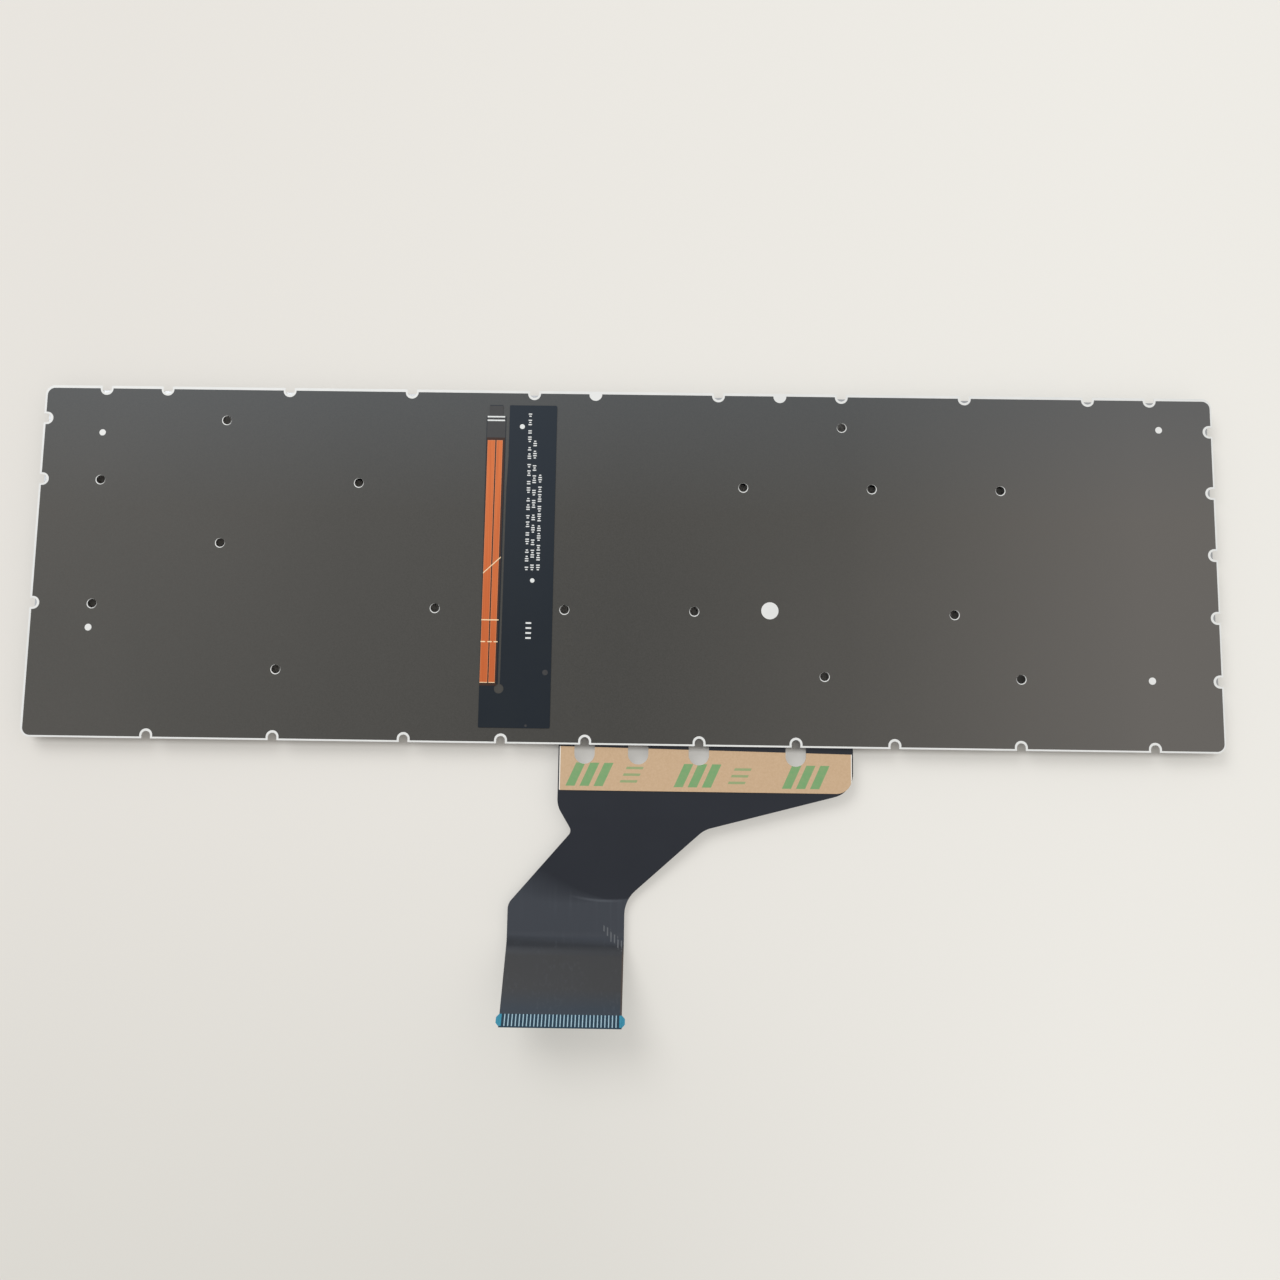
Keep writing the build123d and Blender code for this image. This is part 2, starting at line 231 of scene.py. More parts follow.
# Marks of the keys
LEGENDS = {
    "left_bracket": "[",
    "right_bracket": "]",
    "backslash": "\\",
    "semicolon": ";",
    "quote": "'",
    "left_shift": "shift",
    "right_shift": "shift",
    "comma": ",",
    "period": ".",
    "slash": "/",
    "left_ctrl": "ctrl",
    "right_ctrl": "ctrl",
    "left_alt": "alt",
    "right_alt": "alt",
    "system": "ring",
    "space": "",
}
EDITING_MARKS = ("ins", "del", "home", "end", "pgup", "pgdn")
KEY_GROUPS = {
    "function_row_keys": ["esc", *[f"f{i}" for i in range(1, 13)], *EDITING_MARKS],
    "digit_row_keys": ["`", *"1234567890-=", "back"],
    "number_pad_keys": ["num", *"/*-789+456123", "enter", *"0."],
    "arrow_keys": ["left", "up", "right", "down"],
}
ARROWS = {"left": math.pi, "up": math.pi / 2, "right": 0.0, "down": -math.pi / 2}
HOMING_KEYS = ("F", "J")

# Light and camera of the photograph
WINDOW_PLACE = (-1.3, 1.8, 2.4)
WINDOW_POWER = 50.0
WINDOW_SIZE = 2.0
SURROUND_LEFT = (0.46, 0.46, 0.47, 1.0)
SURROUND_RIGHT = (0.94, 0.9, 0.85, 1.0)
SURROUND_FAR = (0.98, 1.02, 1.08, 1.0)
FLOOR_GLOW = 0.45
TABLE_HALF = 3000
TABLE_DROP = 0.05
CAMERA_PLACE = (0.00793, -0.06982, 0.37039)
CAMERA_TURN = (7.498, 0.341, 0.838)
CAMERA_LENS = 36.0
CAMERA_SENSOR = 36.0

film_low, film_high = [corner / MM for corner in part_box("reflector_film")]
board_low, board_high = [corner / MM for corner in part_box("backlight_flex")]
led_low, led_high = [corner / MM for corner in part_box("backlight_leds")]
FUNCTION_PITCH = (film_high.x - film_low.x) / FUNCTION_KEYS


def paint(red, green, blue):
    """A colour as seen, 0 to 255, turned into the shader's linear numbers."""
    parts = [part / 255 for part in (red, green, blue)]
    linear = [part / 12.92 if part <= 0.04045 else ((part + 0.055) / 1.055) ** 2.4 for part in parts]
    return (*linear, 1.0)


class Field:
    """A value that varies over a surface; arithmetic on it adds Math nodes."""

    def __init__(self, finish, socket):
        self.finish = finish
        self.socket = socket

    def maths(self, operation, *terms):
        return self.finish.node("ShaderNodeMath", {"operation": operation}, dict(enumerate(terms)))

    def __add__(self, other):
        return self.maths("ADD", self, other)

    __radd__ = __add__

    def __sub__(self, other):
        return self.maths("SUBTRACT", self, other)

    def __mul__(self, other):
        return self.maths("MULTIPLY", self, other)

    __rmul__ = __mul__

    def __truediv__(self, other):
        return self.maths("DIVIDE", self, other)

    def __mod__(self, other):
        return self.maths("FLOORED_MODULO", self, other)

    def __lt__(self, other):
        return self.maths("LESS_THAN", self, other)

    def __gt__(self, other):
        return self.maths("GREATER_THAN", self, other)

    def __abs__(self):
        return self.maths("ABSOLUTE", self)

    def ramp(self, start, end):
        """0 below start, 1 above end and even between them."""
        ends = {"From Min": start, "From Max": end}
        return self.finish.node("ShaderNodeMapRange", {}, {"Value": self, **ends})


class Finish:
    """One procedural material and the nodes that make it."""

    def __init__(self, name, **plain):
        self.material = bpy.data.materials.new(name)
        self.material.use_nodes = True
        self.tree = self.material.node_tree
        self.shader = self.tree.nodes["Principled BSDF"]
        self.place = self.node("ShaderNodeTexCoord", {}, {}, "Object")
        self.wear(**plain)

    def node(self, kind, settings, inputs, output=0):
        made = self.tree.nodes.new(kind)
        for name, value in settings.items():
            setattr(made, name, value)
        for name, value in inputs.items():
            self.feed(made.inputs[name], value)
        return Field(self, made.outputs[output])

    def feed(self, socket, value):
        if isinstance(value, Field):
            self.tree.links.new(value.socket, socket)
        else:
            socket.default_value = value

    def wear(self, **sockets):
        """Sets the shader's sockets, named in lower case."""
        for name, value in sockets.items():
            socket = name.replace("_", " ").title().replace("Ior", "IOR")
            self.feed(self.shader.inputs[socket], value)

    def axis(self, name):
        """A coordinate in millimetres."""
        return self.node("ShaderNodeSeparateXYZ", {}, {"Vector": self.place}, name) * (1 / MM)

    def noise(self, size, detail=2.0, stretch=(1.0, 1.0, 1.0)):
        """Soft noise whose blots are about size millimetres across."""
        place = self.node("ShaderNodeVectorMath", {"operation": "MULTIPLY"}, {0: self.place, 1: stretch})
        inputs = {"Vector": place, "Scale": 1 / (size * MM), "Detail": detail}
        return self.node("ShaderNodeTexNoise", {}, inputs)

    def mix(self, share, first, second):
        return self.node("ShaderNodeMix", {"data_type": "RGBA"}, {0: share, 6: first, 7: second}, 2)

    def emboss(self, height, depth):
        """Bump of the given depth in millimetres."""
        bump = {"Height": height, "Strength": 1.0, "Distance": depth * MM}
        self.wear(normal=self.node("ShaderNodeBump", {}, bump))


class Surround(Finish):
    """The room's soft light, brighter on the right and beyond the function row."""

    def __init__(self, name):
        self.material = bpy.data.worlds.new(name)
        self.material.use_nodes = True
        self.tree = self.material.node_tree
        self.shader = self.tree.nodes["Background"]
        self.place = self.node("ShaderNodeTexCoord", {}, {}, "Generated")
        sides = self.mix(self.way("X").ramp(-0.5, 0.7), SURROUND_LEFT, SURROUND_RIGHT)
        self.wear(color=self.mix(self.way("Y").ramp(0.0, 0.8) * 0.6, sides, SURROUND_FAR), strength=1.0)

    def way(self, name):
        return self.node("ShaderNodeSeparateXYZ", {}, {"Vector": self.place}, name)


def back_print_and_painted_light():
    """Dark satin ink with a fine grain; painted reflection makes it paler towards the Esc edge and bluer towards
    the function row, and painted shade darkens its middle.
    """
    finish = Finish("back_print_and_painted_light", specular_ior_level=0.35)
    drift = finish.noise(90, 3).ramp(0.3, 0.7)
    grain = finish.noise(0.5, 3)
    across = finish.axis("X")
    tone = finish.mix(drift, paint(65, 64, 60), paint(71, 69, 65))
    # Painted shade: darker across the middle of the sheet.
    tone = finish.mix(abs(across + 40).ramp(110, 40), tone, paint(58, 57, 53))
    along = finish.axis("Y")
    tone = finish.mix(abs(across + 10).ramp(60, 10) * along.ramp(40, -10) * 0.5, tone, paint(46, 46, 43))
    # Painted reflection: paler towards the Esc edge.
    tone = finish.mix(across.ramp(65, 150), tone, paint(95, 92, 88))
    # Painted reflection: bluer towards the function row.
    tone = finish.mix(along.ramp(15, 52) * 0.4, tone, paint(72, 81, 89))
    speckle = (finish.noise(0.35, 1) - 0.5) * 0.25 + 0.12
    finish.wear(base_color=finish.mix(speckle, tone, paint(98, 96, 92)))
    finish.wear(roughness=0.44 + 0.14 * grain)
    finish.emboss(grain, 0.004)
    return finish


def film_white():
    """White reflector film, a little uneven."""
    finish = Finish("film_white", specular_ior_level=0.45)
    cloud = finish.noise(6, 2)
    finish.wear(base_color=finish.mix(cloud, paint(216, 218, 216), paint(230, 231, 229)))
    finish.wear(roughness=0.3 + 0.12 * cloud)
    return finish


def board_navy():
    """Navy cover film of the backlight board, paler towards the function row."""
    finish = Finish("board_navy", specular_ior_level=0.24)
    upper = finish.axis("Y").ramp(-20, 50)
    cloud = finish.noise(14, 3)
    tone = finish.mix(upper, paint(14, 25, 36), paint(21, 34, 47))
    finish.wear(base_color=finish.mix(cloud * 0.25, tone, paint(36, 42, 42)))
    finish.wear(roughness=0.36 + 0.12 * finish.noise(1.2, 2))
    finish.emboss(finish.noise(0.8, 2), 0.004)
    return finish


def copper_strip():
    """Copper under amber cover film, with a fine drawn grain along it, deeper towards the foot."""
    finish = Finish("copper_strip", specular_ior_level=0.4)
    grain = finish.noise(0.4, 3, (1.0, 0.02, 1.0))
    tone = finish.mix(grain.ramp(0.3, 0.7), paint(196, 94, 34), paint(214, 112, 48))
    finish.wear(base_color=finish.mix(finish.axis("Y").ramp(25, -30) * 0.6, tone, paint(180, 80, 20)))
    finish.wear(roughness=0.36 + 0.2 * grain)
    finish.emboss(grain, 0.003)
    return finish


def copper_edge_highlight():
    """Paler border of the copper: a painted highlight along its edges."""
    finish = Finish("copper_edge_highlight", specular_ior_level=0.5)
    grain = finish.noise(0.6, 2)
    finish.wear(base_color=finish.mix(grain, paint(202, 112, 60), paint(218, 136, 88)))
    finish.wear(roughness=0.35 + 0.15 * grain)
    return finish


def leg_brown_and_shadow():
    """Brown base film that shows between and beside the copper strips; beside them and below their feet it is
    painted shadow.
    """
    finish = Finish("leg_brown_and_shadow", specular_ior_level=0.3)
    cloud = finish.noise(1.5, 2)
    finish.wear(base_color=finish.mix(cloud, paint(40, 22, 14), paint(62, 34, 20)))
    finish.wear(roughness=0.4 + 0.15 * cloud)
    return finish


def contact_black():
    """Blackened cover of the leg's contact end."""
    finish = Finish("contact_black", specular_ior_level=0.45)
    cloud = finish.noise(2.5, 3)
    finish.wear(base_color=finish.mix(cloud, paint(38, 39, 41), paint(56, 56, 57)))
    finish.wear(roughness=0.4 + 0.15 * cloud)
    return finish


def mark_white():
    """Screen-printed white ink."""
    finish = Finish("mark_white", specular_ior_level=0.3)
    cloud = finish.noise(0.5, 2)
    finish.wear(base_color=finish.mix(cloud, paint(206, 210, 210), paint(238, 240, 238)))
    finish.wear(roughness=0.55 + 0.15 * cloud)
    return finish


def cream_ink_and_highlight():
    """White ink over the copper, warmed by the amber film; also the painted highlight line at each copper strip's
    foot.
    """
    finish = Finish("cream_ink_and_highlight", specular_ior_level=0.3)
    cloud = finish.noise(0.5, 2)
    finish.wear(base_color=finish.mix(cloud, paint(232, 200, 156), paint(246, 222, 184)))
    finish.wear(roughness=0.55 + 0.15 * cloud)
    return finish


def liner_paper():
    """Tan release paper with groups of slanted green bars, and a bare white edge at each side."""
    finish = Finish("liner_paper", specular_ior_level=0.35)
    across = finish.axis("X")
    along = finish.axis("Y")
    fibre = finish.noise(0.5, 3)
    tone = finish.mix(fibre.ramp(0.3, 0.7), paint(194, 164, 130), paint(201, 172, 139))
    slant = (across - 0.45 * along + 297.1) % 30.75
    row = abs(along + 60.4)
    bars = ((abs(slant - 4) < 1.3) + (abs(slant - 8) < 1.3) + (abs(slant - 12) < 1.3)) * (row < 3.3)
    pips = (abs(slant - 20) < 2.4) * (abs((along + 200) % 1.9 - 0.95) < 0.35) * (row < 2.6) * (across < 50)
    ink = (bars + pips * 0.75) * (0.75 + 0.25 * finish.noise(1.2, 2))
    tone = finish.mix(ink, tone, paint(104, 160, 104))
    finish.wear(base_color=finish.mix(abs(across - 24.225) > 41.35, tone, paint(232, 228, 220)))
    finish.wear(roughness=0.42 + 0.2 * fibre)
    finish.emboss(fibre, 0.004)
    return finish


def tail_black_and_painted_light():
    """Black ribbon film with a painted reflection that pales it below a bowed crease, a dull band of painted shade
    at its bend and painted highlights on a few track ridges.
    """
    finish = Finish("tail_black_and_painted_light", specular_ior_level=0.42)
    across = finish.axis("X")
    along = finish.axis("Y")
    cloud = finish.noise(14, 3)
    streak = finish.noise(0.9, 2, (1.0, 0.03, 1.0)).ramp(0.5, 0.75)
    # Painted reflection: paler below a bowed crease, and a tone of its own on the lifted facet.
    bow = across + 2.4
    depth = 0.0105 * bow * bow - 95.5 - along
    softness = across.ramp(-4, -22) * 9 + 0.5
    lower = (depth / softness + 0.5).ramp(0, 1) * along.ramp(-84, -88)
    lifted = along.ramp(-108, -111)
    # Painted shade in a band at the bend.
    painted_bend_shade = abs(along + 0.04 * across + 109.0).ramp(2.4, 0.5)
    tone = finish.mix(lower, paint(17, 23, 34), paint(52, 57, 65))
    tone = finish.mix(lifted, tone, paint(45, 45, 45))
    tone = finish.mix(along.ramp(-119, -124), tone, paint(33, 45, 56))
    tone = finish.mix(painted_bend_shade * 0.7, tone, paint(26, 28, 31))
    tone = finish.mix(cloud * 0.25, tone, paint(36, 42, 52))
    # Painted highlight just below the crease.
    glint = abs(depth - 0.4).ramp(0.5, 0.1) * abs(across + 6).ramp(8, 2) * 0.2
    tone = finish.mix(glint, tone, paint(112, 118, 126))
    # Painted highlights on the track ridges where the bend catches light.
    diagonal = abs(along + 107.1 + 0.92 * across + 3 * (finish.noise(1.1, 1) - 0.5)).ramp(1.3, 0.9)
    track_highlights = abs((across + 100.4) % 1.0 - 0.5).ramp(0.24, 0.12) * diagonal * (abs(across + 1.4) < 2.7)
    tone = finish.mix(track_highlights * 0.6, tone, paint(110, 113, 116))
    tone = finish.mix((across > 1.3) * lifted * 0.6, tone, paint(74, 56, 42))
    faint = streak * lower * finish.noise(9, 2).ramp(0.4, 0.7) * 0.06
    finish.wear(base_color=finish.mix(faint, tone, paint(130, 138, 148)))
    finish.wear(roughness=0.3 + 0.12 * cloud + 0.45 * abs(along + 107.3).ramp(3.0, 1.0))
    finish.emboss(streak * lower * 0.3 + finish.noise(1.0, 2) * 0.4, 0.004)
    return finish


def tail_end_blue():
    """Clear end of the ribbon over the blue stiffener."""
    finish = Finish("tail_end_blue", specular_ior_level=0.35)
    cloud = finish.noise(2, 2)
    finish.wear(base_color=finish.mix(cloud, paint(142, 172, 186), paint(162, 190, 202)))
    finish.wear(roughness=0.25 + 0.1 * cloud)
    return finish


def contact_carbon():
    """Carbon ink of the tail's contacts."""
    finish = Finish("contact_carbon", specular_ior_level=0.28)
    cloud = finish.noise(0.6, 2)
    finish.wear(base_color=finish.mix(cloud, paint(6, 37, 53), paint(15, 56, 74)))
    finish.wear(roughness=0.45 + 0.15 * cloud)
    return finish


def stiffener_blue():
    """Blue polyester stiffener."""
    finish = Finish("stiffener_blue", specular_ior_level=0.4)
    cloud = finish.noise(1.5, 2)
    finish.wear(base_color=finish.mix(cloud, paint(20, 114, 142), paint(46, 140, 164)))
    finish.wear(roughness=0.3 + 0.1 * cloud)
    return finish


def plate_steel():
    """Zinc-coated steel with a soft spangle and rolling lines."""
    finish = Finish("plate_steel", metallic=1.0)
    spangle = finish.noise(3, 4)
    rolled = finish.noise(0.5, 2, (0.02, 1.0, 1.0))
    finish.wear(base_color=finish.mix(spangle, paint(150, 153, 156), paint(186, 188, 190)))
    finish.wear(roughness=0.3 + 0.15 * rolled)
    finish.emboss(rolled, 0.003)
    return finish


def guide_clear():
    """Clear acrylic of the light guide, a little milky with its printed dots."""
    finish = Finish("guide_clear", ior=1.49, transmission_weight=0.6)
    across = finish.axis("X") % 1.5 - 0.75
    along = finish.axis("Y") % 1.5 - 0.75
    dots = (across * across + along * along) < 0.06
    finish.wear(base_color=finish.mix(dots, paint(214, 222, 224), paint(244, 246, 246)))
    finish.wear(roughness=0.15 + 0.5 * dots)
    return finish


def led_resin():
    """Yellow phosphor resin of the LEDs."""
    finish = Finish("led_resin", specular_ior_level=0.5)
    cloud = finish.noise(0.4, 2)
    finish.wear(base_color=finish.mix(cloud, paint(232, 214, 120), paint(244, 232, 170)))
    finish.wear(roughness=0.3 + 0.1 * cloud)
    return finish


def membrane_film():
    """Smoked switch film with faint silver tracks."""
    finish = Finish("membrane_film", specular_ior_level=0.5)
    bend = finish.noise(30, 1) * 8
    rows = abs((finish.axis("Y") + bend + 400) % 2.4 - 1.2) < 0.3
    columns = abs((finish.axis("X") + bend + 400) % 9.2 - 4.6) < 0.3
    tone = finish.mix(finish.noise(20, 3), paint(34, 36, 38), paint(46, 48, 50))
    finish.wear(base_color=finish.mix((rows + columns) * 0.1, tone, paint(150, 152, 154)))
    finish.wear(roughness=0.36 + 0.1 * finish.noise(2, 2))
    return finish


def dome_rubber():
    """Milky silicone of the domes."""
    finish = Finish("dome_rubber", specular_ior_level=0.4, subsurface_weight=0.25, subsurface_scale=0.001)
    cloud = finish.noise(1.0, 2)
    finish.wear(base_color=finish.mix(cloud, paint(196, 200, 200), paint(220, 223, 222)))
    finish.wear(roughness=0.45 + 0.15 * cloud)
    return finish


def scissor_plastic():
    """Pale moulded plastic of the scissors."""
    finish = Finish("scissor_plastic", specular_ior_level=0.45)
    cloud = finish.noise(0.8, 2)
    finish.wear(base_color=finish.mix(cloud, paint(150, 150, 146), paint(176, 176, 171)))
    finish.wear(roughness=0.4 + 0.15 * cloud)
    finish.emboss(cloud, 0.004)
    return finish


def key_plastic():
    """Black keycap plastic with the fine eroded texture of its mould."""
    finish = Finish("key_plastic", specular_ior_level=0.4)
    texture = finish.noise(0.12, 2)
    rub = finish.noise(5, 3)
    finish.wear(base_color=finish.mix(rub, paint(23, 23, 25), paint(33, 33, 35)))
    finish.wear(roughness=0.48 + 0.18 * texture)
    finish.emboss(texture, 0.006)
    return finish


def floor_pale():
    """Pale table top with painted shade, darker on the left and greyer at the lower left; part of its tone shows
    in shadow too.
    """
    finish = Finish("floor_pale", specular_ior_level=0.25)
    across = finish.axis("X")
    along = finish.axis("Y")
    # Painted light: paler towards the right, with painted shade at the lower left.
    tone = finish.mix(across.ramp(-160, 150), paint(227, 224, 218), paint(236, 234, 228))
    tone = finish.mix(along.ramp(-60, -200) * across.ramp(130, -20) * 0.7, tone, paint(215, 213, 206))
    finish.wear(base_color=tone, roughness=0.6 + 0.1 * finish.noise(1.5, 2))
    outputs = [f"Is {ray} Ray" for ray in ("Camera", "Glossy", "Transmission")]
    rays = [finish.node("ShaderNodeLightPath", {}, {}, output) for output in outputs]
    glow = finish.node("ShaderNodeEmission", {}, {"Color": tone})
    lit = Field(finish, finish.shader.outputs["BSDF"])
    clear = (abs(across).ramp(170, 173) + along.ramp(50, 53) + along.ramp(-52, -53.5)).ramp(0, 1)
    shown = sum(rays) * clear * FLOOR_GLOW
    surface = finish.node("ShaderNodeMixShader", {}, {0: shown, 1: lit, 2: glow})
    finish.feed(finish.tree.nodes["Material Output"].inputs["Surface"], surface)
    return finish


BACK_PRINT_AND_PAINTED_LIGHT = back_print_and_painted_light()
FILM_WHITE = film_white()
BOARD_NAVY = board_navy()
COPPER_STRIP = copper_strip()
COPPER_EDGE_HIGHLIGHT = copper_edge_highlight()
LEG_BROWN_AND_SHADOW = leg_brown_and_shadow()
CONTACT_BLACK = contact_black()
MARK_WHITE = mark_white()
CREAM_INK_AND_HIGHLIGHT = cream_ink_and_highlight()
LINER_PAPER = liner_paper()
TAIL_BLACK_AND_PAINTED_LIGHT = tail_black_and_painted_light()
TAIL_BLUE = tail_end_blue()
CONTACT_CARBON = contact_carbon()
STIFFENER_BLUE = stiffener_blue()
MEMBRANE_FILM = membrane_film()
DOME_RUBBER = dome_rubber()
SCISSOR_PLASTIC = scissor_plastic()
KEY_PLASTIC = key_plastic()


def across(distance):
    """X of a place given by its distance from the Esc edge."""
    return film_high.x - distance


def below(distance):
    """Y of a place given by its distance below the sheet's lower edge."""
    return film_low.y - distance


def row_line(row):
    """Y of the line above a key row, counted from the digit row."""
    return film_high.y - FUNCTION_BAND - row * ROW_PITCH


def circle(x, y, radius, steps=28):
    turns = [2 * math.pi * step / steps for step in range(steps)]
    return [(x + radius * math.cos(turn), y + radius * math.sin(turn)) for turn in turns]


def rectangle(left, lower, right, upper):
    return [(left, lower), (right, lower), (right, upper), (left, upper)]


def rounded(corners, steps=8):
    """Closed outline through (x, y, rounding) corners."""
    points = []
    for i, (x, y, rounding) in enumerate(corners):
        here = Vector((x, y))
        back = Vector(corners[i - 1][:2]) - here
        ahead = Vector(corners[(i + 1) % len(corners)][:2]) - here
        if rounding == 0:
            points.append((x, y))
            continue
        reach = rounding / math.tan(back.angle(ahead) / 2)
        start = here + back.normalized() * reach
        end = here + ahead.normalized() * reach
        pull = math.sin(back.angle(ahead) / 2)
        for share in np.linspace(0, 1, steps):
            pulls = (1 - share) ** 2, 2 * pull * share * (1 - share), share**2
            point = (start * pulls[0] + here * pulls[1] + end * pulls[2]) / sum(pulls)
            points.append((point.x, point.y))
    return points


def rounded_box(left, lower, right, upper, rounding, steps=6):
    """Closed outline of a rectangle with round corners."""
    radius = min(rounding, (right - left) / 2.01, (upper - lower) / 2.01)
    middles = [(right, upper, -1, -1), (left, upper, 1, -1), (left, lower, 1, 1), (right, lower, -1, 1)]
    points = []
    for quarter, (x, y, inward_x, inward_y) in enumerate(middles):
        for step in range(steps):
            turn = math.pi / 2 * (quarter + step / (steps - 1))
            out_x, out_y = radius * math.cos(turn), radius * math.sin(turn)
            points.append((x + inward_x * radius + out_x, y + inward_y * radius + out_y))
    return points


def bite(radius, depth, steps=14):
    """Round bite out of an edge, as (along, inward) points."""
    middle = depth - radius
    start = math.asin(max(0.0, -middle / radius))
    turns = np.linspace(start, math.pi - start, steps)
    points = [(-radius * math.cos(turn), middle + radius * math.sin(turn)) for turn in turns]
    return [(-radius, 0), *points, (radius, 0)] if middle > 0 else points


def bitten_sheet(rims, corner, edge_bites):
    """Outline of a sheet inside the film's edges, counter-clockwise from the lower edge.
    Each edge has its own rim and its own (place, bite) pairs."""
    left, lower = film_low.x + rims[3], film_low.y + rims[0]
    right, upper = film_high.x - rims[1], film_high.y - rims[2]
    edges = [(left, lower, 1, 0), (right, lower, 0, 1), (right, upper, -1, 0), (left, upper, 0, -1)]
    points = []
    for (x, y, run_x, run_y), bites in zip(edges, edge_bites):
        for turn in np.linspace(0, math.pi / 2, 8):
            run, inward = corner * (1 - math.cos(turn)), corner * (1 - math.sin(turn))
            points.append((x + run_x * run - run_y * inward, y + run_y * run + run_x * inward))
        places = sorted((abs(place - (x if run_x else y)), shape) for place, shape in bites)
        for distance, shape in places:
            for along, inward in shape:
                run = distance + along
                points.append((x + run_x * run - run_y * inward, y + run_y * run + run_x * inward))
    return points


def filled(loops):
    """Flat faces inside the first loop and outside the others."""
    points, rings = [], []
    for loop in loops:
        rings.append(list(range(len(points), len(points) + len(loop))))
        points += [Vector(point) for point in loop]
    points, _, faces, *_ = delaunay_2d_cdt(points, [], rings, 2, 1e-6)
    return [tuple(point) for point in points], [list(face) for face in faces]


def thickened(flat, low, high):
    """Closed solid between two heights over flat faces."""
    points, faces = flat
    count = len(points)
    vertices = [(x, y, high) for x, y, *_ in points] + [(x, y, low) for x, y, *_ in points]
    open_edges = set()
    for face in faces:
        for start, end in zip(face, face[1:] + face[:1]):
            if (end, start) in open_edges:
                open_edges.remove((end, start))
            else:
                open_edges.add((start, end))
    lower = [[count + i for i in reversed(face)] for face in faces]
    sides = [[end, start, count + start, count + end] for start, end in sorted(open_edges)]
    return vertices, faces + lower + sides


def sheet(loops, low, high):
    """Flat sheet inside the first loop, with the other loops cut out."""
    return thickened(filled(loops), low, high)


def loft(rings):
    """Closed solid through rings of points, with its first and last ring filled."""
    count = len(rings[0])
    vertices = [point for ring in rings for point in ring]
    faces = [list(range(count))[::-1]]
    for level in range(len(rings) - 1):
        for i in range(count):
            start, end = level * count + i, level * count + (i + 1) % count
            faces.append([start, end, end + count, start + count])
    faces.append([(len(rings) - 1) * count + i for i in range(count)])
    return vertices, faces


def moved(shape, change):
    """The shape with each vertex put through a change."""
    vertices, faces = shape
    return [change(*vertex) for vertex in vertices], faces


class Form:
    """A piece in the making: its vertices in millimetres, its faces and their finishes."""

    def __init__(self):
        self.vertices = []
        self.faces = []
        self.finishes = []

    def add(self, shape, finish):
        vertices, faces = shape
        start = len(self.vertices)
        self.vertices += vertices
        self.faces += [[start + i for i in face] for face in faces]
        self.finishes += [finish] * len(faces)
        return self

    def make(self, name, slot, body="base", stands_for=(), smooth=None):
        mesh = bpy.data.meshes.new(name)
        mesh.from_pydata([Vector(vertex) * MM for vertex in self.vertices], [], self.faces)
        used = list(dict.fromkeys(self.finishes))
        for finish in used:
            mesh.materials.append(finish.material)
        mesh.polygons.foreach_set("material_index", [used.index(finish) for finish in self.finishes])
        shell = bmesh.new()
        shell.from_mesh(mesh)
        bmesh.ops.recalc_face_normals(shell, faces=shell.faces)
        shell.to_mesh(mesh)
        shell.free()
        if smooth:
            mesh.shade_smooth()
            mesh.set_sharp_from_angle(angle=math.radians(smooth))
        made = bpy.data.objects.new(name, mesh)
        bpy.context.scene.collection.objects.link(made)
        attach(made, body)
        if stands_for:
            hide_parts(*stands_for)
        return made


def stake_places():
    """Places of the stake holes, on key boundaries of each row line."""
    pad = MAIN_W + PAD_PITCH
    outer_pad = MAIN_W + 3 * PAD_PITCH
    lines = [
        [6 * FUNCTION_PITCH, pad],
        [*[TAB_W + i * KEY_PITCH for i in (2, 4, 6, 12)], outer_pad],
        [pad],
        [*[SHIFT_W + i * KEY_PITCH for i in (2, 6, 8, 10)], outer_pad],
        [SHIFT_W + KEY_PITCH, SHIFT_W + 4 * KEY_PITCH, MAIN_W],
    ]
    return [(across(place), row_line(row)) for row, places in enumerate(lines) for place in places]


def edge_bites(rims, post, edge, top):
    """Bites for the lower, right, upper and left edge of a sheet with these rims."""
    keys = [CTRL_W, CTRL_W + 2 * MODIFIER_W, MAIN_W - 2 * KEY_PITCH, MAIN_W, MAIN_W + 2 * PAD_PITCH]
    places = [
        ([across(place) for place in (*keys, *SPACE_POSTS)], post),
        ([row_line(row) for row in range(5)], edge),
        ([across(i * FUNCTION_PITCH) for i in top], edge),
        ([row_line(row) for row in (0, 1, 3)], edge),
    ]
    return [
        [(place, bite(radius, depth - rim)) for place in along]
        for (along, (radius, depth)), rim in zip(places, rims)
    ]


def printed_film():
    """White film with its dark print, which leaves a white rim, rings shifted to paint highlight crescents, and
    windows.
    """
    top = film_high.z - PRINT_T
    rims = (0, 0, 0, 0)
    outline = bitten_sheet(rims, FILM_CORNER, edge_bites(rims, POST_BITE, EDGE_BITE, TOP_NOTCHES))
    holes = [circle(x, y, STAKE_R) for x, y in stake_places()]
    slot = rectangle(led_low.x - LED_GAP, led_low.y - LED_GAP, led_high.x + LED_GAP, led_high.y + LED_GAP)
    film = Form().add(sheet([outline, *holes, slot], film_low.z, top), FILM_WHITE)
    film.make("reflector_film_sheet", "film_print", stands_for=["reflector_film"])

    bites = edge_bites(PRINT_RIMS, POST_PRINT_BITE, EDGE_PRINT_BITE, TOP_NOTCHES + TOP_PRINT_BITES)
    outline = bitten_sheet(PRINT_RIMS, FILM_CORNER - PRINT_CORNER_INSET, bites)
    gaps = []
    # Each ring is shifted away from a point beyond the function row, so a painted highlight crescent of white film
    # shows on one side of the hole.
    for x, y in stake_places():
        highlight_slip = Vector((x, y - 3 * film_high.y)).normalized() * RING_HIGHLIGHT_SHIFT
        gaps.append(circle(x + highlight_slip.x, y + highlight_slip.y, STAKE_RING_R))
    gaps += [circle(x, y, radius) for x, y, radius in WINDOWS]
    Form().add(sheet([outline, *gaps], top, film_high.z), BACK_PRINT_AND_PAINTED_LIGHT).make("printed_back", "film_print")


